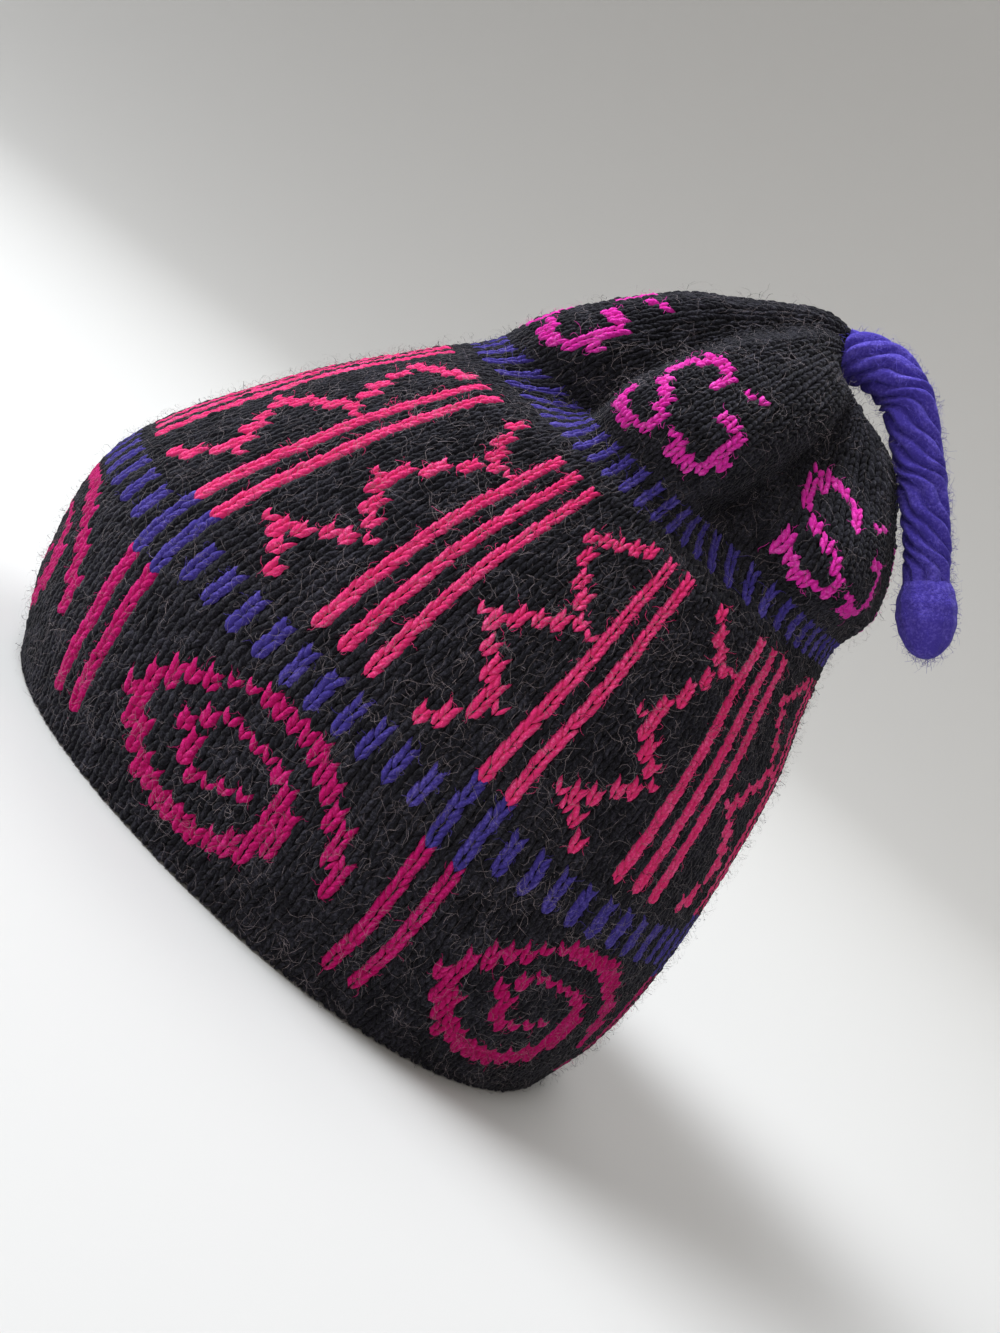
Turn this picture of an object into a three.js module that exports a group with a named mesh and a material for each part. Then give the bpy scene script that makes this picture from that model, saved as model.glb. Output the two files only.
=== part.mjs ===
// A tall knitted wool beanie: a tube of patterned knitting whose top is drawn together into six soft
// lobes, with a thick twisted cord and an end knob coming out of the gather.
// Millimetres, +Z up, the front of the hat at -Y and the wearer's left at +X. The hat rests on its rim,
// and the origin lies on the rim's plane under the middle of the knitted body.

import * as THREE from "three";

// Knitting: rows are counted upwards from the rim, and the last row is drawn round the cord.
const WALL = 3.0;
const LAST_ROW = 115;
const ORIGIN_SHIFT_Y = 9.8;

// Sections of the knitted tube. Each is a flattened ring at a row: its middle, its height, its lean to the
// back in degrees, half its width across the head, and how far it reaches to the front and to the back.
const SECTIONS = [
  { row: 0, middleY: 0, height: 0, lean: 0, halfWidth: 74, front: 100, back: 92 },
  { row: 13, middleY: 0, height: 24, lean: 0.5, halfWidth: 75, front: 113, back: 97.5 },
  { row: 28, middleY: -3, height: 57.5, lean: 1.5, halfWidth: 71, front: 113, back: 100 },
  { row: 49, middleY: 4.5, height: 104, lean: 2, halfWidth: 66, front: 89, back: 85 },
  { row: 67, middleY: 12, height: 134.5, lean: 3, halfWidth: 57, front: 68, back: 68 },
  { row: 81, middleY: 20, height: 161, lean: 4, halfWidth: 53, front: 53, back: 59 },
  { row: 95, middleY: 24.5, height: 182, lean: 8, halfWidth: 38, front: 38, back: 45 },
  { row: 107, middleY: 29, height: 198, lean: 18, halfWidth: 20, front: 18.5, back: 25 },
  { row: LAST_ROW, middleY: 30.5, height: 203, lean: 65, halfWidth: 5.8, front: 5.8, back: 5.8 },
];
const SQUARENESS = 0.03;
const SIDE_BLEND = 0.35;

// Valleys between the lobes of the crown. Each opens between two rows, starts at one angle round the hat
// and drifts to another at the gather. Its depth is a share of the section's radius, and its half-width is
// in degrees.
const VALLEYS = [
  { startAngle: 0, endAngle: 0, depth: 0.16, halfAngle: 14, startRow: 74, fullRow: 88 },
  { startAngle: 60, endAngle: 58, depth: 0.34, halfAngle: 14, startRow: 66, fullRow: 78 },
  { startAngle: 123, endAngle: 138, depth: 0.44, halfAngle: 15, startRow: 66, fullRow: 78 },
  { startAngle: 180, endAngle: 184, depth: 0.07, halfAngle: 15, startRow: 70, fullRow: 84 },
  { startAngle: 240, endAngle: 238, depth: 0.34, halfAngle: 15, startRow: 66, fullRow: 78 },
  { startAngle: 300, endAngle: 302, depth: 0.28, halfAngle: 14, startRow: 68, fullRow: 80 },
];
const DEEPEST_VALLEY = Math.max(...VALLEYS.map((valley) => valley.depth));
const VALLEY_DRIFT_ROWS = { start: 70, full: 108 };
const VALLEY_WIDEN = { share: 0.15, start: 80, full: 110 };
const VALLEY_FADE = { share: 0.25, start: 90, full: 112 };

// The crease where the slack crown folds over the body, deeper at some places round the hat.
const CREASES = [
  { angle: 78, halfAngle: 32, depth: 0.11 },
  { angle: 150, halfAngle: 30, depth: 0.03 },
  { angle: 275, halfAngle: 35, depth: 0.05 },
];
const CREASE_ALL_ROUND = 0.03;
const CREASE_ROW = 73;
const CREASE_HALF_ROWS = 4;

// Above the crease the lobes swell, and near the gather fine pleats run along the rows of stitches.
const SWELL = { share: 0.04, start: 70, full: 82, fade: 98, gone: 113 };
const PLEATS = { count: 18, share: 0.022, start: 84, full: 104 };

// Inside, the knitting bunches together below the gather, so the hollow ends in a plain round top.
const HOLLOW_TOP_ROW = 103;
const HOLLOW_ROUND_ROWS = { start: 88, full: 100 };
const HOLLOW_TOP_RISE = 1.0;
const GATHER_DIMPLE = 0.6;

// The cord leaves the gather towards the back and lies down the back of the crown to its knob.
const CORD_DIAMETER = 10.5;
const CORD_SIDES = 10;
const CORD_STEPS = 15;
const CORD_GAP = 0.4;
const KNOB_RADIUS = 8.2;
const KNOB_LENGTH = 20;
const KNOB_NECK_RADIUS = 5.2;
const KNOB_SIDES = 20;
const KNOB_RINGS = 12;

const STEPS_ROUND = 90;
const OUTER_ROWS = [
  0, 2, 5, 9, 13, 18, 23, 28, 33, 38, 44, 50, 56, 61, 65, 67.5, 69.5, 71.5, 73, 74.5, 76.5, 79, 82, 85, 88,
  91, 94, 97, 100, 102.5, 105, 107, 109, 111, 113, LAST_ROW,
];
const INNER_ROWS = [
  0, 6, 13, 21, 28, 36, 44, 52, 60, 65, 68, 70.5, 73, 75.5, 78, 82, 87, 92, 96, 100, HOLLOW_TOP_ROW,
];

const KNIT_BLACK = 0x1c1c22;
const CORD_VIOLET = 0x4a3aa8;

function easeStep(start, end, value) {
  const share = Math.min(Math.max((value - start) / (end - start), 0), 1);
  return share * share * (3 - 2 * share);
}

function bell(offset, halfWidth) {
  return Math.exp(-((offset / halfWidth) ** 2));
}

function angleBetween(angle, other) {
  return ((((angle - other + 180) % 360) + 360) % 360) - 180;
}

// A column of the section table at any row, on a smooth curve through the table's values.
function sectionValue(row, column) {
  let index = 0;
  while (index < SECTIONS.length - 2 && row > SECTIONS[index + 1].row) {
    index += 1;
  }
  const slope = (at) => {
    const before = SECTIONS[Math.max(at - 1, 0)];
    const after = SECTIONS[Math.min(at + 1, SECTIONS.length - 1)];
    return (after[column] - before[column]) / (after.row - before.row);
  };
  const low = SECTIONS[index];
  const high = SECTIONS[index + 1];
  const span = high.row - low.row;
  const t = (row - low.row) / span;
  return (
    (1 + 2 * t) * (1 - t) ** 2 * low[column] +
    t * (1 - t) ** 2 * span * slope(index) +
    t * t * (3 - 2 * t) * high[column] +
    t * t * (t - 1) * span * slope(index + 1)
  );
}

// How much the valleys take off the radius at an angle and row, as a share.
function valleyShare(angle, row) {
  let share = 0;
  for (const valley of VALLEYS) {
    const drift = easeStep(VALLEY_DRIFT_ROWS.start, VALLEY_DRIFT_ROWS.full, row);
    const bottom = valley.startAngle + (valley.endAngle - valley.startAngle) * drift;
    const widen = 1 + VALLEY_WIDEN.share * easeStep(VALLEY_WIDEN.start, VALLEY_WIDEN.full, row);
    const opened = valley.depth * easeStep(valley.startRow, valley.fullRow, row);
    share += opened * bell(angleBetween(angle, bottom), valley.halfAngle * widen);
  }
  return share * valleyFade(row);
}

function valleyFade(row) {
  return 1 - VALLEY_FADE.share * easeStep(VALLEY_FADE.start, VALLEY_FADE.full, row);
}

function creaseShare(angle, row) {
  let share = CREASE_ALL_ROUND;
  for (const crease of CREASES) {
    share += crease.depth * bell(angleBetween(angle, crease.angle), crease.halfAngle);
  }
  return share * bell(row - CREASE_ROW, CREASE_HALF_ROWS);
}

function swellShare(row) {
  return SWELL.share * easeStep(SWELL.start, SWELL.full, row) * (1 - easeStep(SWELL.fade, SWELL.gone, row));
}

function pleatShare(angle, row) {
  const wave = Math.cos(THREE.MathUtils.degToRad(PLEATS.count * angle));
  return PLEATS.share * easeStep(PLEATS.start, PLEATS.full, row) * wave;
}

// A point of the section at a row, with its radius scaled by a factor. Angle 0 is the front, 90 the left.
function ringPoint(angle, row, scale) {
  const turn = THREE.MathUtils.degToRad(angle);
  const lean = THREE.MathUtils.degToRad(sectionValue(row, "lean"));
  const frontness = easeStep(-SIDE_BLEND, SIDE_BLEND, Math.cos(turn));
  const depth = sectionValue(row, "front") * frontness + sectionValue(row, "back") * (1 - frontness);
  const fuller = scale * (1 + (SQUARENESS * (1 - Math.cos(4 * turn))) / 2);
  const along = -depth * fuller * Math.cos(turn);
  return new THREE.Vector3(
    sectionValue(row, "halfWidth") * fuller * Math.sin(turn),
    sectionValue(row, "middleY") + along * Math.cos(lean) + ORIGIN_SHIFT_Y,
    sectionValue(row, "height") - along * Math.sin(lean),
  );
}

function outerPoint(angle, row) {
  const folds = swellShare(row) - valleyShare(angle, row) - creaseShare(angle, row);
  return ringPoint(angle, row, 1 + folds + pleatShare(angle, row));
}

// The inside follows the folds one wall thickness in, and is plain and round below the gather.
function innerScale(angle, row) {
  const rounding = easeStep(HOLLOW_ROUND_ROWS.start, HOLLOW_ROUND_ROWS.full, row);
  const roundValley = DEEPEST_VALLEY * valleyFade(row);
  const valley = valleyShare(angle, row) * (1 - rounding) + roundValley * rounding;
  return 1 + swellShare(row) - valley - creaseShare(angle, row);
}

function innerPoint(angle, row) {
  const foldedPoint = (atAngle, atRow) => ringPoint(atAngle, atRow, innerScale(atAngle, atRow));
  const across = foldedPoint(angle + 1, row).sub(foldedPoint(angle - 1, row));
  const upward = foldedPoint(angle, row + 1).sub(foldedPoint(angle, Math.max(row - 1, 0)));
  const outward = across.cross(upward).normalize();
  const point = foldedPoint(angle, row).addScaledVector(outward, -WALL);
  if (row === 0) {
    point.z = 0;
  }
  return point;
}

// A closed body from rings of points: each ring is joined to the next, and the first and the last ring are
// each closed on a middle point.
function closedBody(rings, firstMiddle, lastMiddle) {
  const count = rings[0].length;
  const positions = [];
  const triangles = [];
  for (const point of rings.flat()) {
    positions.push(point.x, point.y, point.z);
  }
  positions.push(firstMiddle.x, firstMiddle.y, firstMiddle.z, lastMiddle.x, lastMiddle.y, lastMiddle.z);
  const firstIndex = rings.length * count;
  const lastStart = (rings.length - 1) * count;
  for (let step = 0; step < count; step += 1) {
    const next = (step + 1) % count;
    for (let ring = 0; ring < rings.length - 1; ring += 1) {
      const low = ring * count;
      const high = low + count;
      triangles.push(low + step, low + next, high + next, low + step, high + next, high + step);
    }
    triangles.push(firstIndex, next, step, firstIndex + 1, lastStart + step, lastStart + next);
  }
  const geometry = new THREE.BufferGeometry();
  geometry.setAttribute("position", new THREE.Float32BufferAttribute(positions, 3));
  geometry.setIndex(triangles);
  geometry.computeVertexNormals();
  return geometry;
}

function ringOf(pointAt, row) {
  return Array.from({ length: STEPS_ROUND }, (_, step) => pointAt((360 * step) / STEPS_ROUND, row));
}

function middleOf(ring) {
  return ring.reduce((sum, point) => sum.add(point), new THREE.Vector3()).divideScalar(ring.length);
}

// Knitted body: from the top of the hollow down the inside, round the rim and up the outside to the gather.
const innerRings = INNER_ROWS.map((row) => ringOf(innerPoint, row)).reverse();
const outerRings = OUTER_ROWS.map((row) => ringOf(outerPoint, row));
const hollowTop = middleOf(innerRings[0]).add(new THREE.Vector3(0, 0, HOLLOW_TOP_RISE));
const gatherMiddle = middleOf(outerRings[outerRings.length - 1]);
const gatherLean = THREE.MathUtils.degToRad(SECTIONS[SECTIONS.length - 1].lean);
const gatherOut = new THREE.Vector3(0, Math.sin(gatherLean), Math.cos(gatherLean));
const gatherBottom = gatherMiddle.clone().addScaledVector(gatherOut, -GATHER_DIMPLE);
const knitBody = new THREE.Mesh(
  closedBody([...innerRings, ...outerRings], hollowTop, gatherBottom),
  new THREE.MeshStandardMaterial({ color: KNIT_BLACK, roughness: 0.95, metalness: 0 }),
);
knitBody.name = "knit_body";

// Cord: its route starts just clear of the gather and is given from there as the sideways drift, the
// distance behind and the height above.
const CORD_ROUTE = [
  { side: 0, behind: 0, above: 0 },
  { side: 0, behind: 1.8, above: 0.84 },
  { side: 0, behind: 4.4, above: 1.8 },
  { side: 0, behind: 7.1, above: 2.5 },
  { side: -0.1, behind: 9.9, above: 2.7 },
  { side: -0.2, behind: 12.7, above: 2.6 },
  { side: -0.3, behind: 15.4, above: 2 },
  { side: -0.4, behind: 18.1, above: 1.1 },
  { side: -0.5, behind: 20.6, above: -0.1 },
  { side: -0.6, behind: 22.8, above: -1.7 },
  { side: -0.9, behind: 27.1, above: -5.3 },
  { side: -1.2, behind: 31.3, above: -9 },
  { side: -1.5, behind: 35.5, above: -12.7 },
  { side: -1.8, behind: 39.6, above: -16.6 },
  { side: -2.1, behind: 43.5, above: -20.5 },
  { side: -2.4, behind: 47.3, above: -24.6 },
  { side: -2.7, behind: 51, above: -28.9 },
  { side: -3, behind: 54.5, above: -33.2 },
];
const cordStart = gatherMiddle.clone().addScaledVector(gatherOut, CORD_GAP);
const cordRoute = new THREE.CatmullRomCurve3(
  CORD_ROUTE.map(({ side, behind, above }) => cordStart.clone().add(new THREE.Vector3(side, behind, above))),
);
const cordSection = new THREE.Shape(
  Array.from({ length: CORD_SIDES }, (_, side) => {
    const turn = (2 * Math.PI * side) / CORD_SIDES;
    return new THREE.Vector2((CORD_DIAMETER / 2) * Math.cos(turn), (CORD_DIAMETER / 2) * Math.sin(turn));
  }),
);
const crownCord = new THREE.Mesh(
  new THREE.ExtrudeGeometry(cordSection, { steps: CORD_STEPS, extrudePath: cordRoute, bevelEnabled: false }),
  new THREE.MeshStandardMaterial({ color: CORD_VIOLET, roughness: 0.9, metalness: 0 }),
);
crownCord.name = "crown_cord";

// Knob: an egg-shaped end in line with the cord's last stretch, flat where the cord goes in.
const cordEnd = cordRoute.getPoint(1);
const cordEndDirection = cordRoute.getTangent(1);
const knobProfile = [new THREE.Vector2(0, 0), new THREE.Vector2(KNOB_NECK_RADIUS, 0)];
const neckTurn = Math.acos(KNOB_NECK_RADIUS / KNOB_RADIUS);
const knobMiddle = KNOB_LENGTH / (1 + 1 / Math.sin(neckTurn));
for (let ring = 1; ring < KNOB_RINGS; ring += 1) {
  const turn = -neckTurn + ((Math.PI / 2 + neckTurn) * ring) / KNOB_RINGS;
  const stretch = turn < 0 ? knobMiddle / Math.sin(neckTurn) : KNOB_LENGTH - knobMiddle;
  knobProfile.push(new THREE.Vector2(KNOB_RADIUS * Math.cos(turn), knobMiddle + stretch * Math.sin(turn)));
}
knobProfile.push(new THREE.Vector2(0, KNOB_LENGTH));
const cordKnob = new THREE.Mesh(
  new THREE.LatheGeometry(knobProfile, KNOB_SIDES),
  new THREE.MeshStandardMaterial({ color: CORD_VIOLET, roughness: 0.9, metalness: 0 }),
);
cordKnob.name = "cord_knob";
cordKnob.position.copy(cordEnd).addScaledVector(cordEndDirection, CORD_GAP);
cordKnob.quaternion.setFromUnitVectors(new THREE.Vector3(0, 1, 0), cordEndDirection);

const beanie = new THREE.Group();
beanie.add(knitBody, crownCord, cordKnob);

export default beanie;
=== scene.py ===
import math

import bpy
import numpy as np
from mathutils import Matrix, Vector


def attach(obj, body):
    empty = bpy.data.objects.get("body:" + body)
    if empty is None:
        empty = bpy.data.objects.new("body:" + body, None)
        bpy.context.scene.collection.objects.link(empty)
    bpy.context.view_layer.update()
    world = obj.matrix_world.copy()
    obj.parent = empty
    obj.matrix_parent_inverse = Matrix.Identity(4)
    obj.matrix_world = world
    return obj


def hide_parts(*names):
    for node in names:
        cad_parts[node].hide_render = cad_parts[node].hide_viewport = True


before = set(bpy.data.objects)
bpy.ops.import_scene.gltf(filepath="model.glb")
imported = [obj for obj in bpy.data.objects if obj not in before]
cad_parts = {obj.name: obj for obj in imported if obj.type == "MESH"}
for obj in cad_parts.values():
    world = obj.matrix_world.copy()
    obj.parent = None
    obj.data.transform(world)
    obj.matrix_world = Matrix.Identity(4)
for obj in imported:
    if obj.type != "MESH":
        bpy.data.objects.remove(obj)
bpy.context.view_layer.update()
scene = bpy.context.scene
scene.view_settings.view_transform = "Standard"

# Camera: it stands low on the hat's left side, a little towards the back, and close enough that the hat
# fills the picture. It is rolled, so that the standing hat leans across the frame.
camera_azimuth = math.radians(106.54)
camera_elevation = math.radians(8.66)
camera_roll = math.radians(39.2)
camera_distance = 0.44452
camera_target = Vector((0.0, 0.02095, 0.08014))
camera_lens = 57.6
camera_sensor = 36.0
level = math.cos(camera_elevation)
backward = Vector(
    (math.sin(camera_azimuth) * level, -math.cos(camera_azimuth) * level, math.sin(camera_elevation))
)
sideways = Vector((math.cos(camera_azimuth), math.sin(camera_azimuth), 0.0))
upward = backward.cross(sideways)
rolled_right = sideways * math.cos(camera_roll) + upward * math.sin(camera_roll)
rolled_up = upward * math.cos(camera_roll) - sideways * math.sin(camera_roll)
camera_data = bpy.data.cameras.new("camera")
camera_data.sensor_fit = "HORIZONTAL"
camera_data.sensor_width = camera_sensor
camera_data.lens = camera_lens
camera_data.clip_start = 0.01
camera = bpy.data.objects.new("camera", camera_data)
camera_turn = Matrix((rolled_right, rolled_up, backward)).transposed()
camera_place = camera_target + backward * camera_distance
camera.matrix_world = Matrix.Translation(camera_place) @ camera_turn.to_4x4()
scene.collection.objects.link(camera)
scene.camera = camera

# Crown cord: a soft violet wool rope of seven strands, each spun from finer yarn, twisted together and
# pulled through the gather. It hangs down behind the crown, thicker near where it leaves the gather.
millimetre = 0.001
full_turn = 2 * math.pi
cord_plies = 7
cord_lay = 0.036
cord_rings = 200
cord_sides = 84
ply_middle = 0.72
ply_radius = 0.31
ply_groove = 0.006
yarn_relief = 0.02
cord_start = np.array((0.0, 0.04064, 0.20321))
# Each point of the route: across, back and up from the start, in millimetres.
cord_route = cord_start + millimetre * np.array(
    (
        (0, 0, 0), (0, 1.8, 0.84), (0, 4.4, 1.8), (0, 7.1, 2.5), (-0.1, 9.9, 2.7), (-0.2, 12.7, 2.6),
        (-0.3, 15.4, 2), (-0.4, 18.1, 1.1), (-0.5, 20.6, -0.1), (-0.6, 22.8, -1.7), (-0.9, 27.1, -5.3),
        (-1.2, 31.3, -9), (-1.5, 35.5, -12.7), (-1.8, 39.6, -16.6), (-2.1, 43.5, -20.5),
        (-2.4, 47.3, -24.6), (-2.7, 51, -28.9), (-3, 54.5, -33.2),
    )
)


def table_curve(keys, values, where):
    """Values of a table at any place, on a smooth curve through its rows."""
    at = np.clip(np.searchsorted(keys, where, side="right") - 1, 0, len(keys) - 2)
    last = len(keys) - 1
    before = np.maximum(np.arange(last + 1) - 1, 0)
    after = np.minimum(np.arange(last + 1) + 1, last)
    slopes = (values[after] - values[before]) / (keys[after] - keys[before])[:, None]
    span = (keys[at + 1] - keys[at])[..., None]
    t = (where - keys[at])[..., None] / span
    return (
        (1 + 2 * t) * (1 - t) ** 2 * values[at]
        + t * (1 - t) ** 2 * span * slopes[at]
        + t * t * (3 - 2 * t) * values[at + 1]
        + t * t * (t - 1) * span * slopes[at + 1]
    )


def unit(vectors):
    """The same directions with a length of one."""
    return vectors / np.linalg.norm(vectors, axis=-1, keepdims=True)


def joined_mesh(name, points, faces, material):
    """An object from arrays: points (n, 3) and faces (m, 3 or 4), smooth."""
    mesh = bpy.data.meshes.new(name)
    count, corners = faces.shape
    mesh.vertices.add(len(points))
    mesh.vertices.foreach_set("co", np.ascontiguousarray(points, np.float32).ravel())
    mesh.loops.add(count * corners)
    mesh.loops.foreach_set("vertex_index", np.ascontiguousarray(faces, np.int32).ravel())
    mesh.polygons.add(count)
    mesh.polygons.foreach_set("loop_start", np.arange(0, count * corners, corners, dtype=np.int32))
    mesh.polygons.foreach_set("loop_total", np.full(count, corners, np.int32))
    mesh.polygons.foreach_set("use_smooth", np.ones(count, bool))
    mesh.update(calc_edges=True)
    mesh.validate()
    mesh.materials.append(material)
    made = bpy.data.objects.new(name, mesh)
    scene.collection.objects.link(made)
    return made


def tube_faces(rings, sides):
    """Quads between rings of points that follow each other, each ring closed on itself."""
    ring, side = np.meshgrid(np.arange(rings - 1), np.arange(sides), indexing="ij")
    following = (side + 1) % sides
    low = ring * sides
    quads = np.stack([low + side, low + following, low + sides + following, low + sides + side], axis=-1)
    return quads.reshape(-1, 4)


def wool(name, colour, fleck, fleck_share, sheen, fibre_scale):
    """Matt woollen yarn: two shades of fibre mixed in flecks and patches, a soft sheen and a hairy bump."""
    patch_strength = 0.4
    fleck_end = 0.98
    fleck_start = 0.82 - 0.3 * fleck_share
    material = bpy.data.materials.new(name)
    material.use_nodes = True
    nodes = material.node_tree.nodes
    links = material.node_tree.links
    shader = nodes["Principled BSDF"]
    place = nodes.new("ShaderNodeTexCoord")

    def noise(scale, detail, roughness):
        made = nodes.new("ShaderNodeTexNoise")
        made.inputs["Scale"].default_value = scale
        made.inputs["Detail"].default_value = detail
        made.inputs["Roughness"].default_value = roughness
        links.new(place.outputs["Object"], made.inputs["Vector"])
        return made.outputs["Fac"]

    uneven = nodes.new("ShaderNodeMath")
    uneven.operation = "MULTIPLY_ADD"
    links.new(noise(fibre_scale / 9.0, 2.0, 0.5), uneven.inputs[0])
    uneven.inputs[1].default_value = patch_strength
    links.new(noise(fibre_scale, 4.0, 0.7), uneven.inputs[2])
    spread = nodes.new("ShaderNodeMapRange")
    spread.inputs["From Min"].default_value = fleck_start
    spread.inputs["From Max"].default_value = fleck_end
    links.new(uneven.outputs["Value"], spread.inputs["Value"])
    mixed = nodes.new("ShaderNodeMix")
    mixed.data_type = "RGBA"
    mixed.inputs["A"].default_value = (*colour, 1.0)
    mixed.inputs["B"].default_value = (*fleck, 1.0)
    links.new(spread.outputs["Result"], mixed.inputs["Factor"])
    links.new(mixed.outputs["Result"], shader.inputs["Base Color"])
    bump = nodes.new("ShaderNodeBump")
    bump.inputs["Strength"].default_value = 0.9
    bump.inputs["Distance"].default_value = 0.0004
    links.new(noise(fibre_scale * 1.7, 3.0, 0.5), bump.inputs["Height"])
    links.new(bump.outputs["Normal"], shader.inputs["Normal"])
    shader.inputs["Roughness"].default_value = 0.92
    shader.inputs["Specular IOR Level"].default_value = 0.06
    shader.inputs["Sheen Weight"].default_value = sheen
    shader.inputs["Sheen Roughness"].default_value = 0.5
    return material


def round_points(middles, reach, turn, across, other):
    """Points round each middle, at a reach and a turn about it."""
    return (
        middles
        + reach[..., None] * np.cos(turn)[..., None] * across
        + reach[..., None] * np.sin(turn)[..., None] * other
    )


cord_wool = wool("cord_wool", (0.06, 0.042, 0.33), (0.17, 0.13, 0.62), 0.5, 0.06, 1100.0)
route_keys = np.arange(len(cord_route), dtype=float)
fine_route = table_curve(route_keys, cord_route, np.linspace(0, len(cord_route) - 1, 2000))
route_run = np.concatenate([[0.0], np.cumsum(np.linalg.norm(np.diff(fine_route, axis=0), axis=1))])
cord_length = float(route_run[-1])
cord_steps = np.linspace(0, cord_length, cord_rings)
centre = np.stack([np.interp(cord_steps, route_run, fine_route[:, axis]) for axis in range(3)], axis=1)
ahead = unit(np.gradient(centre, axis=0))
across = unit(np.cross(ahead, np.array((1.0, 0.0, 0.0))))
other = np.cross(ahead, across)
cord_turn = np.linspace(0, full_turn, cord_sides, endpoint=False)[None, :]
step_column = cord_steps[:, None]
cord_reach = np.interp(step_column, (0, 0.012, 0.03, cord_length), (0.0068, 0.0073, 0.0066, 0.0058))
uneven_twist = 0.22 * np.sin(step_column / 0.0031) + 0.15 * np.sin(step_column / 0.0017 + 1.0)
winding = full_turn * step_column / cord_lay + uneven_twist
half_ply = math.pi / cord_plies
ply_angle = (cord_turn + winding + half_ply) % (2 * half_ply) - half_ply
ply_bulge = np.maximum(ply_radius**2 - (ply_middle * np.sin(ply_angle)) ** 2, ply_groove)
ridge = ply_middle * np.cos(ply_angle) + np.sqrt(ply_bulge)
yarn_turn = np.arctan2(np.sin(ply_angle) * ridge, np.cos(ply_angle) * ridge - ply_middle)
yarns = yarn_relief * (np.cos(4 * yarn_turn - 7.0 * winding) + np.sin(3 * cord_turn + 2.3 * winding))
cord_points = round_points(
    centre[:, None, :], cord_reach * (ridge + yarns), cord_turn, across[:, None, :], other[:, None, :]
)
cord = joined_mesh(
    "twisted_cord", cord_points.reshape(-1, 3), tube_faces(cord_rings, cord_sides), cord_wool
)
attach(cord, "root")
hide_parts("crown_cord")

# Cord knob: the rounded end of the same cord and of the same wool. Its loose yarns are wound round and
# round the end and felted nearly smooth, and it sits over the last of the strands.
knob_radius = 0.0077
knob_length = 0.020
knob_neck = 0.0058
knob_overlap = 0.0006
knob_rings = 48
knob_sides = 72
knob_tip = math.pi / 2 - 0.02
knob_base = centre[-1] - ahead[-1] * knob_overlap
neck_turn = math.acos(knob_neck / knob_radius)
knob_middle = knob_length / (1 + 1 / math.sin(neck_turn))
knob_rise = np.linspace(-neck_turn, knob_tip, knob_rings)
stretch = np.where(knob_rise < 0, knob_middle / math.sin(neck_turn), knob_length - knob_middle)
knob_along = (knob_middle + stretch * np.sin(knob_rise))[:, None]
knob_turn = np.linspace(0, full_turn, knob_sides, endpoint=False)[None, :]
strands = np.cos(11 * knob_turn + full_turn * knob_along / knob_length + np.sin(2 * knob_turn))
lumps = np.sin(3 * knob_turn + 900 * knob_along) * np.sin(2 * knob_turn - 500 * knob_along)
knob_reach = (knob_radius * np.cos(knob_rise))[:, None] * (1 + 0.022 * strands + 0.025 * lumps)
knob_middles = knob_base + knob_along[..., None] * ahead[-1]
knob_points = round_points(knob_middles, knob_reach, knob_turn, across[-1], other[-1])
knob = joined_mesh("cord_end_knob", knob_points.reshape(-1, 3), tube_faces(knob_rings, knob_sides), cord_wool)
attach(knob, "root")
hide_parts("cord_knob")

# Cord fuzz: fine loose fibres of the cord's own wool. They have worked out of its strands with handling,
# and curl off its ridges and off the knob.
hair_count = 2600
hair_half_width = 0.00004
cord_random = np.random.default_rng(11)
hair_roots = np.concatenate([cord_points.reshape(-1, 3), knob_points.reshape(-1, 3)])
hair_middles = np.concatenate(
    [
        np.repeat(centre, cord_sides, axis=0),
        np.repeat(knob_base + knob_along * ahead[-1] * 0.9, knob_sides, axis=0),
    ]
)
picked = cord_random.integers(0, len(hair_roots), hair_count)
hair_out = unit(hair_roots[picked] - hair_middles[picked])
hair_way = unit(np.cross(hair_out, cord_random.normal(0, 1, (hair_count, 3))))
hair_length = cord_random.uniform(0.001, 0.005, (hair_count, 1))
hair_lift = cord_random.uniform(0.0002, 0.0016, (hair_count, 1))
hair_side = np.cross(hair_out, hair_way)
hair_curl = cord_random.normal(0, 0.5, (hair_count, 1))
hair_lines = []
for share in (0.0, 0.33, 0.67, 1.0):
    hair_lines.append(
        hair_roots[picked]
        + hair_way * hair_length * share
        + hair_side * hair_length * hair_curl * share**2
        + hair_out * hair_lift * math.sin(2.4 * share)
    )
hair_lines = np.stack(hair_lines, axis=1)
hair_half = hair_half_width * hair_side[:, None, :]
hair_points = np.stack([hair_lines - hair_half, hair_lines + hair_half], axis=2)


def ribbon_faces(count, joints):
    """Quads of many ribbons, each a strip between the pairs of points at its joints."""
    first = 2 * np.arange(joints - 1)
    strip = np.stack([first, first + 1, first + 3, first + 2], axis=1)
    faces = (np.arange(count) * 2 * joints)[:, None, None] + strip[None, :, :]
    return faces.reshape(-1, 4)


cord_fuzz = joined_mesh(
    "cord_fuzz", hair_points.reshape(-1, 3), ribbon_faces(hair_count, hair_lines.shape[1]), cord_wool
)
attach(cord_fuzz, "root")

# Knitted body: one tube of thick wool knitted in the round, its crown drawn together into six lobes.
# The backing is the cloth itself, inside and out, and the stitches lie on it.
wall = 0.003
last_row = 115
hollow_end_row = 103
origin_shift = 0.0098
backing_depth = 0.0008
backing_floor = 0.0002
lobe_swell = 0.04
fold_row = 73
fold_half_rows = 4
fold_all_round = 0.03
pleat_count = 18
pleat_depth = 0.022
corner_fullness = 0.03
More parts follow.
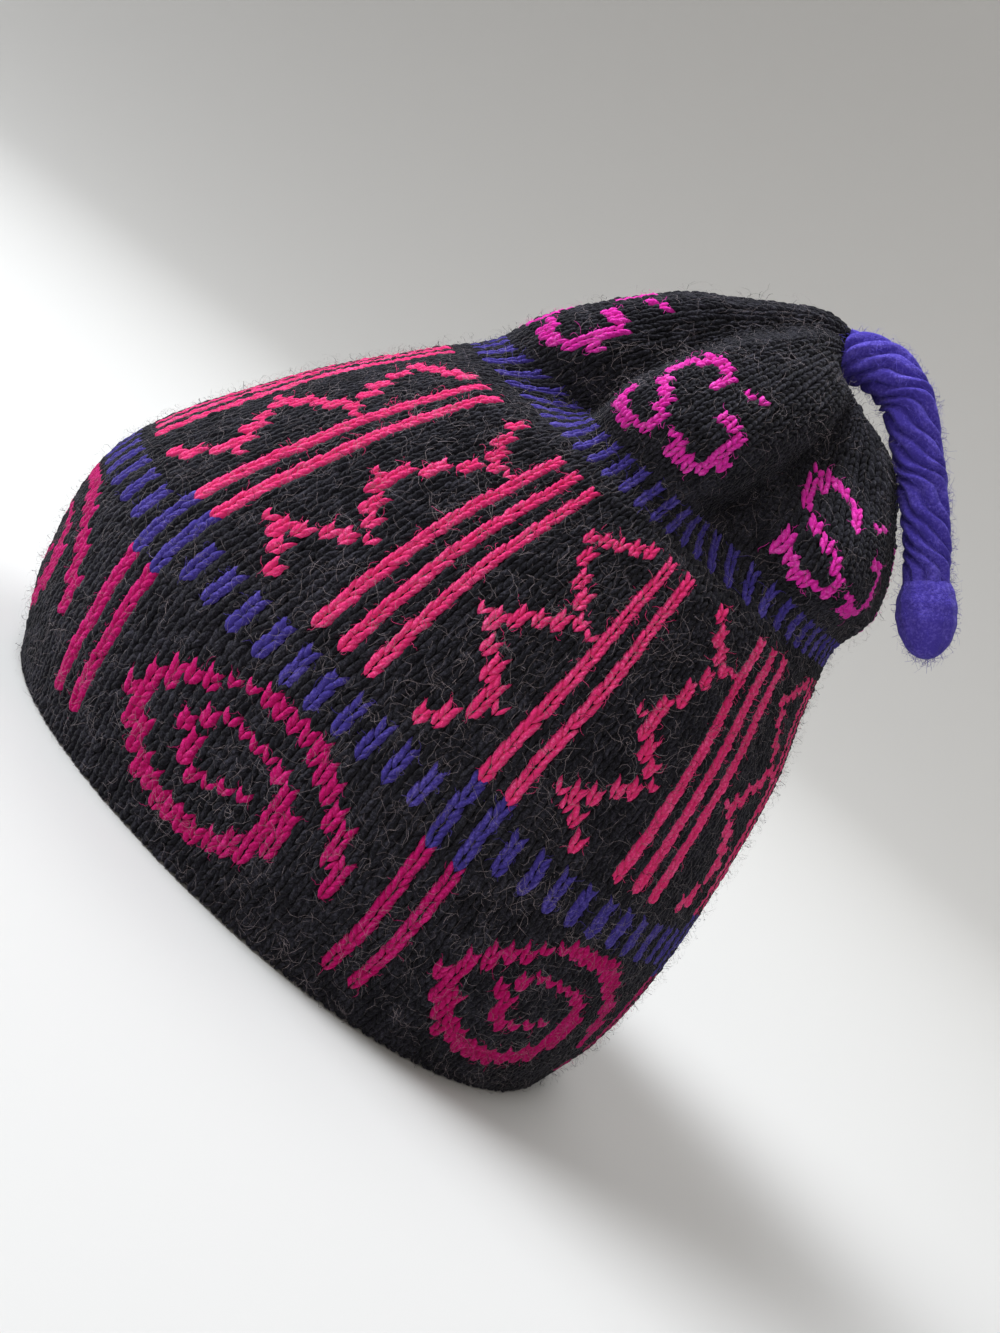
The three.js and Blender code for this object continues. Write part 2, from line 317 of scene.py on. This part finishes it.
# Each section: row, middle, height, lean in degrees, half width, reach to the front and to the back.
sections = np.array(
    (
        (0, 0, 0, 0, 74, 100, 92), (13, 0, 24, 0.5, 75, 113, 97.5), (28, -3, 57.5, 1.5, 71, 113, 100),
        (49, 4.5, 104, 2, 66, 89, 85), (67, 12, 134.5, 3, 57, 68, 68), (81, 20, 161, 4, 53, 53, 59),
        (95, 24.5, 182, 8, 38, 38, 45), (107, 29, 198, 18, 20, 18.5, 25),
        (115, 30.5, 203, 65, 5.8, 5.8, 5.8),
    )
)
# Each valley of the crown: angle at its start and at the gather, depth, half angle, start and full row.
valleys = (
    (0, 0, 0.16, 14, 74, 88), (60, 58, 0.34, 14, 66, 78), (123, 138, 0.44, 15, 66, 78),
    (180, 184, 0.07, 15, 70, 84), (240, 238, 0.34, 15, 66, 78), (300, 302, 0.28, 14, 68, 80),
)
# Each deep stretch of the fold below the crown: middle angle, half angle and depth.
fold_stretches = ((78, 32, 0.11), (150, 30, 0.03), (275, 35, 0.05))


def ease(start, end, value):
    """A smooth rise from 0 at the start to 1 at the end."""
    share = np.clip((value - start) / (end - start), 0, 1)
    return share * share * (3 - 2 * share)


def bell(offset, half_width):
    """A smooth hump, 1 in its middle."""
    return np.exp(-((offset / half_width) ** 2))


def angle_between(angle, middle):
    """Degrees from the middle, the short way round."""
    return (angle - middle + 180) % 360 - 180


def cloth(angle, row):
    """Points on the outside of the cloth; angle 0 is the front, 90 the wearer's left."""
    angle, row = np.broadcast_arrays(np.asarray(angle, float), np.asarray(row, float))
    middle, height, lean, half_width, front, back = np.moveaxis(
        table_curve(sections[:, 0], sections[:, 1:], row), -1, 0
    )
    folds = lobe_swell * ease(70, 82, row) * (1 - ease(98, 113, row))
    for start, end, depth, half_angle, start_row, full_row in valleys:
        bottom = start + (end - start) * ease(70, 108, row)
        width = half_angle * (1 + 0.15 * ease(80, 110, row))
        opened = depth * ease(start_row, full_row, row) * (1 - 0.25 * ease(90, 112, row))
        folds = folds - opened * bell(angle_between(angle, bottom), width)
    fold_depth = fold_all_round
    for middle_angle, half_angle, depth in fold_stretches:
        fold_depth = fold_depth + depth * bell(angle_between(angle, middle_angle), half_angle)
    folds = folds - fold_depth * bell(row - fold_row, fold_half_rows)
    around = np.radians(angle)
    folds = folds + pleat_depth * ease(84, 104, row) * np.cos(pleat_count * around)
    forwards = ease(-0.35, 0.35, np.cos(around))
    fuller = (1 + folds) * (1 + corner_fullness * (1 - np.cos(4 * around)) / 2)
    along = -(front * forwards + back * (1 - forwards)) * fuller * np.cos(around)
    tilt = np.radians(lean)
    return np.stack(
        [
            millimetre * half_width * fuller * np.sin(around),
            millimetre * (middle + along * np.cos(tilt)) + origin_shift,
            millimetre * (height - along * np.sin(tilt)),
        ],
        axis=-1,
    )


def cloth_normal(angle, row):
    """The way out of the cloth, from points a little to each side."""
    angle_step = 0.8
    row_step = 0.6
    round_way = cloth(angle + angle_step, row) - cloth(angle - angle_step, row)
    upper = np.minimum(row + row_step, last_row)
    lower = np.maximum(row - row_step, 0)
    return unit(np.cross(round_way, cloth(angle, upper) - cloth(angle, lower)))


black_wool = wool("black_wool", (0.008, 0.0077, 0.011), (0.052, 0.05, 0.067), 0.5, 0.07, 1500.0)
backing_rows = np.concatenate([np.linspace(0, 64, 22), np.linspace(65, last_row - 0.5, 40)])
backing_angles = np.linspace(0, 360, 120, endpoint=False)
backing_sides = len(backing_angles)
ring_angle, ring_row = np.meshgrid(backing_angles, backing_rows)
outside = cloth(ring_angle, ring_row)
outward = cloth_normal(ring_angle, ring_row)
backing_outer = outside - backing_depth * outward
backing_inner = outside - wall * outward
backing_outer[0, :, 2] = backing_floor
backing_inner[0, :, 2] = backing_floor
inner_rings = backing_inner[backing_rows <= hollow_end_row][::-1]
backing_rings = np.concatenate([inner_rings, backing_outer])
ring_count = len(backing_rings)
backing_points = np.concatenate(
    [backing_rings.reshape(-1, 3), [inner_rings[0].mean(axis=0), backing_outer[-1].mean(axis=0)]]
)
backing_quads = tube_faces(ring_count, backing_sides)
round_index = np.arange(backing_sides)
round_next = (round_index + 1) % backing_sides
top_start = (ring_count - 1) * backing_sides
inner_middle = np.full_like(round_index, len(backing_points) - 2)
top_middle = np.full_like(round_index, len(backing_points) - 1)
inner_cap = np.stack([inner_middle, round_next, round_index], axis=1)
top_cap = np.stack([top_middle, top_start + round_index, top_start + round_next], axis=1)
backing_faces = np.concatenate(
    [backing_quads[:, (0, 1, 2)], backing_quads[:, (0, 2, 3)], inner_cap, top_cap]
)
backing = joined_mesh("knit_backing", backing_points, backing_faces, black_wool)
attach(backing, "root")
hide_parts("knit_body")

# Stitches: every stitch is a V of two slanted legs of wool yarn. Black is the ground; the pattern repeats
# six times round the hat and is charted in stitches from each repeat's middle and rows from the rim.
stitch_width = 3.7
row_height = 2.07
repeat_stitches = 24
stitch_degrees = 2.5
zigzag_half = 1.75
scroll_half = 1.85
black, magenta, violet, pink, scroll = range(5)
spiral_line = (
    (1, 14), (-0.5, 12.3), (-2.3, 11.3), (-2.9, 13.5), (-3.7, 15.8), (-3.1, 18), (-1.8, 19), (0.7, 19.2),
    (2.3, 18.3), (3.4, 15.8), (3.4, 12.2), (2.3, 8.5), (0.7, 6.3), (-2.3, 5.8), (-5, 7.2), (-6.2, 9.9),
    (-7.2, 13.1), (-7, 15.8), (-5.8, 18.1), (-4.1, 20.8), (-1.8, 23.1), (0.7, 23.6), (2.8, 23), (4.8, 21),
    (6.5, 18.5), (7.5, 15.4), (8.4, 12.2),
)
# The spiral's half width at each of its points, in millimetres.
spiral_half = (
    1, 1, 2.2, 2.6, 2.2, 1.6, 1.4, 1.4, 1.8, 3.2, 3.4, 3, 2.6, 2.8, 3, 3.4, 3.4, 2.6, 2, 1.6, 1.5, 1.6, 2.4,
    2.4, 3.2, 2.6, 1.6,
)
left_zigzag = ((-5.6, 33), (-8, 37), (-4.2, 43), (-7.6, 49), (-4.3, 60.5), (-7, 66.5))
right_zigzag = ((6, 33), (8.6, 39.3), (4.6, 46), (9, 52.4), (5.2, 62), (9, 67))
zigzag_spurs = (
    ((-8, 37), (-8.8, 37)), ((-4.2, 43), (-3.5, 43.2)), ((-7.6, 49), (-8.5, 49)),
    ((-4.3, 60.5), (-3.4, 60.8)), ((8.6, 39.3), (9.3, 39)), ((4.6, 46), (3.9, 46)),
    ((9, 52.4), (9.6, 52.2)), ((5.2, 62), (4.6, 62.4)),
)
s_scroll = (
    (-5, 80), (-4.6, 77.4), (-2.5, 76.4), (-0.3, 77.2), (0, 79.5), (-1.8, 82.2), (-4.4, 84.2), (-5.2, 87),
    (-4, 90.4), (-1.7, 92), (0, 91), (0.2, 88.6),
)
c_scroll = ((2.4, 79), (3.3, 77.2), (5.2, 77.6), (6.6, 80.5), (6, 84), (4.6, 86.2), (2.8, 84.8))
scroll_dot = ((2.6, 90), (3.6, 91.6))


def line_near(offset, row, line, half_widths):
    """True where a stitch lies within a charted line's half width, in millimetres of flat cloth."""
    near = np.zeros(offset.shape, bool)
    for index in range(len(line) - 1):
        (x0, y0), (x1, y1) = line[index], line[index + 1]
        run_x = (x1 - x0) * stitch_width
        run_y = (y1 - y0) * row_height
        from_x = (offset - x0) * stitch_width
        from_y = (row - y0) * row_height
        t = np.clip((from_x * run_x + from_y * run_y) / (run_x**2 + run_y**2), 0, 1)
        half = half_widths[index] + (half_widths[index + 1] - half_widths[index]) * t
        near |= (from_x - t * run_x) ** 2 + (from_y - t * run_y) ** 2 < half**2
    return near


def chart(angle, row):
    """The colour of each stitch."""
    half_repeat = repeat_stitches // 2
    stitch = np.round(angle / stitch_degrees).astype(int)
    from_middle = (stitch % repeat_stitches - half_repeat).astype(float)
    from_bars = (stitch + half_repeat) % repeat_stitches - half_repeat
    odd = stitch % 2 == 1
    double_bar = np.abs(from_bars) == 1
    triple_bar = np.isin(from_middle, (-2, 0, 2))
    colour = np.full(stitch.shape, black)
    for wales, first_row, end_row, dyed in (
        (double_bar, 5, 24, magenta),
        (double_bar, 24, 33, violet),
        (odd, 26, 31, violet),
        (double_bar | triple_bar, 33, 68, pink),
        (odd, 70, 74, violet),
    ):
        colour[wales & (row >= first_row) & (row < end_row)] = dyed
    colour[line_near(from_middle, row, spiral_line, spiral_half)] = magenta
    for line in (left_zigzag, right_zigzag, *zigzag_spurs):
        colour[line_near(from_middle, row, line, [zigzag_half] * len(line))] = pink
    for line in (s_scroll, c_scroll, scroll_dot):
        colour[line_near(from_middle, row, line, [scroll_half] * len(line))] = scroll
    return colour


# Stitches in a round: the first row of each count, and the count, fewer and fewer towards the gather.
round_counts = ((0, 144), (82, 120), (91, 96), (98, 72), (104, 48), (109, 28))
stitch_random = np.random.default_rng(7)
stitch_angle = []
stitch_row = []
stitch_step = []
for knit_row in range(last_row):
    count = [stitches for first_row, stitches in round_counts if knit_row >= first_row][-1]
    stitch_angle.append(np.arange(count) * 360.0 / count)
    stitch_row.append(np.full(count, knit_row + 0.5))
    stitch_step.append(np.full(count, 360.0 / count))
stitch_angle = np.concatenate(stitch_angle)
stitch_row = np.concatenate(stitch_row)
stitch_step = np.concatenate(stitch_step)
stitch_colour = chart(stitch_angle, np.floor(stitch_row))
sway = np.sin(stitch_row / 5.3 + 2 * np.sin(np.radians(5 * stitch_angle)))
stitch_angle = stitch_angle + 0.22 * sway + 0.1 * stitch_random.standard_normal(len(stitch_row))
stitch_out = cloth_normal(stitch_angle, stitch_row)
half_step = 0.5 * stitch_step
real_width = np.linalg.norm(
    cloth(stitch_angle + half_step, stitch_row) - cloth(stitch_angle - half_step, stitch_row), axis=-1
)
narrow_stitch = 0.0023
narrow_to_wide = 0.0014
leg_slant = 0.39
leg_lean = 0.25
leg_travel = 0.38
leg_height = 0.00078
leg_seat = 0.00015
stitch_floor = 0.0003
# A leg's outline from its foot to its head: share along, width in shares of its half width, and lift in
# shares of its height. Then a ring's points from side to side, and how much each is rounded off.
leg_outline = ((0.0, 0.0, -0.1), (0.2, 0.75, 0.4), (0.5, 1.0, 0.55), (0.8, 0.8, 0.1), (1.0, 0.0, -0.9))
leg_ring = ((-1.0, -0.75), (-0.5, 0.4), (0.5, 0.4), (1.0, -0.75))
ring_points = len(leg_ring)
ring_starts = [1 + ring_points * ring for ring in range(len(leg_outline) - 2)]
head_point = 1 + ring_points * len(ring_starts)
leg_faces = [(0, 2 + side, 1 + side) for side in range(ring_points - 1)]
for ring_start in ring_starts[:-1]:
    for low in range(ring_start, ring_start + ring_points - 1):
        leg_faces.append((low, low + ring_points + 1, low + ring_points))
        leg_faces.append((low, low + 1, low + ring_points + 1))
leg_faces.extend((head_point, low, low + 1) for low in range(ring_starts[-1], head_point - 1))
leg_faces = np.array(leg_faces)


def stitch_mesh(name, chosen, material):
    """Both legs of the chosen stitches as one mesh."""
    angle = stitch_angle[chosen][:, None]
    row = stitch_row[chosen][:, None]
    step = stitch_step[chosen][:, None]
    width = real_width[chosen][:, None]
    wider = np.clip((width - narrow_stitch) / narrow_to_wide, 0, 1)
    leg_rows = 1.55 + 0.45 * wider

    def uneven(amount):
        return amount * stitch_random.standard_normal((len(width), 1))

    legs = []
    for hand in (-1.0, 1.0):
        half = (0.25 - 0.05 * wider) * width * (1 + uneven(0.12))
        lean = hand * (leg_lean + uneven(0.025))
        jog = uneven(0.08)
        height = leg_height + uneven(0.00014)
        points = []
        for along, wide, lift in leg_outline:
            ring = leg_ring if wide else ((0.0, 0.0),)
            for side, round_off in ring:
                shift = side * wide * half
                slant_rows = hand * shift * math.sin(leg_slant) / (row_height * millimetre)
                place = lean + hand * leg_travel * (along - 0.5) + shift * math.cos(leg_slant) / width
                point_row = np.clip(row + leg_rows * (along - 0.5) + jog - slant_rows, 0, last_row)
                out = height * (lift + round_off) + leg_seat
                points.append(cloth(angle + place * step, point_row)[:, 0, :] + out * stitch_out[chosen])
        legs.append(np.stack(points, axis=1))
    legs = np.concatenate(legs)
    legs[..., 2] = np.maximum(legs[..., 2], stitch_floor)
    faces = (np.arange(len(legs)) * (head_point + 1))[:, None, None] + leg_faces[None, :, :]
    made = joined_mesh(name, legs.reshape(-1, 3), faces.reshape(-1, 3), material)
    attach(made, "root")


magenta_wool = wool("magenta_wool", (0.42, 0.004, 0.11), (0.68, 0.035, 0.25), 0.4, 0.06, 1300.0)
pink_wool = wool("pink_wool", (0.7, 0.026, 0.16), (1.0, 0.16, 0.4), 0.4, 0.08, 1300.0)
violet_wool = wool("violet_wool", (0.045, 0.032, 0.22), (0.15, 0.115, 0.48), 0.4, 0.08, 1300.0)
scroll_wool = wool("scroll_wool", (0.66, 0.02, 0.36), (0.92, 0.15, 0.62), 0.4, 0.08, 1300.0)
dyed_wools = (
    ("magenta", stitch_colour == magenta, magenta_wool),
    ("violet", stitch_colour == violet, violet_wool),
    ("pink", stitch_colour == pink, pink_wool),
    ("scroll", stitch_colour == scroll, scroll_wool),
)
for part_name, first_row, end_row in (("brim", 0, 34), ("body", 34, 69), ("crown", 69, last_row)):
    part_rows = (stitch_row > first_row) & (stitch_row < end_row)
    stitch_mesh(f"black_stitches_{part_name}", (stitch_colour == black) & part_rows, black_wool)
for colour_name, chosen, dyed_wool in dyed_wools:
    stitch_mesh(f"{colour_name}_stitches", chosen, dyed_wool)

# Fuzz: loose fibres of the wool that have worked out of the yarn with wear. They curl over the cloth and
# stand off its outline, pale and dark over the black ground and in its own colour on each dyed stitch.
fuzz_floor = 0.0004
fuzz_seat = 0.0005
fibre_taper = np.array((0.7, 1, 1, 1, 0.8, 0.3))
fuzz_random = np.random.default_rng(23)


def fuzz_mesh(name, angle, row, longest, stand_off, thickness, material):
    """Fine curled fibres rooted at the given places on the cloth, each a narrow ribbon."""
    joints = len(fibre_taper)
    count = len(row)
    length = longest * (0.3 + 0.7 * fuzz_random.uniform(0, 1, count))
    heading = fuzz_random.uniform(0, full_turn, count)
    bend = fuzz_random.normal(0, 2.4, count)
    reach = stand_off * fuzz_random.uniform(0.1, 1, count) ** 2
    root = cloth(angle, row)
    out = cloth_normal(angle, row)
    round_way = unit(np.cross(np.array((0.0, 0.0, 1.0)), out))
    up_way = np.cross(out, round_way)
    middles = []
    here_round = np.zeros(count)
    here_up = np.zeros(count)
    for joint in range(joints):
        share = joint / (joints - 1)
        lift = reach * math.sin(math.pi * (0.12 + 0.62 * share)) + fuzz_seat
        middles.append(
            root + here_round[:, None] * round_way + here_up[:, None] * up_way + lift[:, None] * out
        )
        way = heading + bend * share + fuzz_random.normal(0, 0.45, count)
        here_round = here_round + np.cos(way) * length / joints
        here_up = here_up + np.sin(way) * length / joints
    middles = np.stack(middles, axis=1)
    aside = unit(np.cross(np.gradient(middles, axis=1), out[:, None, :]))
    half = aside * thickness * fibre_taper[None, :, None] / 2
    points = np.stack([middles - half, middles + half], axis=2).reshape(-1, 3)
    points[:, 2] = np.maximum(points[:, 2], fuzz_floor)
    made = joined_mesh(name, points, ribbon_faces(count, joints), material)
    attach(made, "root")


def scattered(count):
    """Places all over the cloth, fewer towards the gather."""
    angle = fuzz_random.uniform(0, 360, count)
    row = fuzz_random.uniform(0.5, 110, count)
    kept = fuzz_random.uniform(0, 1, count) < np.interp(row, (0, 60, 80, 110), (1, 0.9, 0.35, 0.2))
    return angle[kept], row[kept]


def on_stitches(chosen, each):
    """Places on the chosen stitches, several on each."""
    angle = np.repeat(stitch_angle[chosen], each)
    row = np.repeat(stitch_row[chosen], each)
    angle = angle + fuzz_random.uniform(-0.5, 0.5, len(row)) * np.repeat(stitch_step[chosen], each)
    return angle, np.clip(row + fuzz_random.uniform(-0.5, 0.5, len(row)), 0.5, last_row - 1)


pale_fibre = wool("pale_fibre", (0.15, 0.125, 0.135), (0.5, 0.42, 0.44), 0.6, 0.1, 300.0)
dark_fibre = wool("dark_fibre", (0.012, 0.012, 0.016), (0.05, 0.047, 0.055), 0.6, 0.1, 300.0)
fuzz_mesh("pale_fuzz", *scattered(15000), 0.012, 0.0036, 0.00005, pale_fibre)
fuzz_mesh("dark_fuzz", *scattered(9000), 0.007, 0.0030, 0.0001, dark_fibre)
for colour_name, chosen, dyed_wool in dyed_wools:
    fuzz_mesh(f"{colour_name}_fuzz", *on_stitches(chosen, 3), 0.005, 0.0016, 0.00009, dyed_wool)

# Studio: a pale seamless sweep of matt card, flat under the hat and turned up all round into a wall.
# Broad soft lights hang above it and to its sides, with a faint even light from all round.
flat_radii = np.linspace(0.01, 1.3, 12)
bend_start = 1.4
bend_radius = 1.6
bend_turn = np.linspace(0, math.pi / 2, 40)
wall_heights = (3.5, 6.0)
wall_radii = (bend_start + bend_radius,) * len(wall_heights)
sweep_radii = np.concatenate([flat_radii, bend_start + bend_radius * np.sin(bend_turn), wall_radii])
sweep_heights = np.concatenate(
    [np.zeros(len(flat_radii)), bend_radius * (1 - np.cos(bend_turn)), wall_heights]
)
sweep_turn = np.linspace(0, full_turn, 96, endpoint=False)
sweep_points = np.stack(
    [
        np.outer(sweep_radii, np.cos(sweep_turn)),
        np.outer(sweep_radii, np.sin(sweep_turn)),
        np.repeat(sweep_heights[:, None], len(sweep_turn), axis=1),
    ],
    axis=-1,
)
sweep_card = bpy.data.materials.new("sweep")
sweep_card.use_nodes = True
sweep_shader = sweep_card.node_tree.nodes["Principled BSDF"]
sweep_shader.inputs["Base Color"].default_value = (0.53, 0.52, 0.505, 1.0)
sweep_shader.inputs["Roughness"].default_value = 0.9
sweep = joined_mesh(
    "sweep", sweep_points.reshape(-1, 3), tube_faces(len(sweep_radii), len(sweep_turn)), sweep_card
)
for light_name, place, aim, size, power, tint in (
    ("key", (0.5, -1.3, 1.5), (0, 0, 0.1), 0.9, 40.0, (0.92, 0.96, 1.0)),
    ("fill", (1.6, 0.2, 0.8), (0, 0, 0.1), 1.4, 9.0, (1.0, 0.93, 0.86)),
    ("crown", (0.1, -0.55, 0.95), (0, 0.03, 0.18), 0.4, 8.0, (0.88, 0.93, 1.0)),
    ("top", (-0.6, 0.2, 1.8), (0, 0, 0.1), 1.2, 12.0, (0.92, 0.96, 1.0)),
    ("backdrop", (-0.8, 0.2, 1.9), (-2.4, 0.3, 0.4), 1.5, 20.0, (1.0, 0.98, 0.95)),
):
    light_data = bpy.data.lights.new(light_name, "AREA")
    light_data.size = size
    light_data.energy = power
    light_data.color = tint
    light = bpy.data.objects.new(light_name, light_data)
    light.location = place
    light.rotation_euler = (Vector(aim) - Vector(place)).to_track_quat("-Z", "Y").to_euler()
    scene.collection.objects.link(light)
world = bpy.data.worlds.new("world")
world.use_nodes = True
even_light = world.node_tree.nodes["Background"]
even_light.inputs["Color"].default_value = (0.9, 0.92, 0.95, 1.0)
even_light.inputs["Strength"].default_value = 0.22
scene.world = world
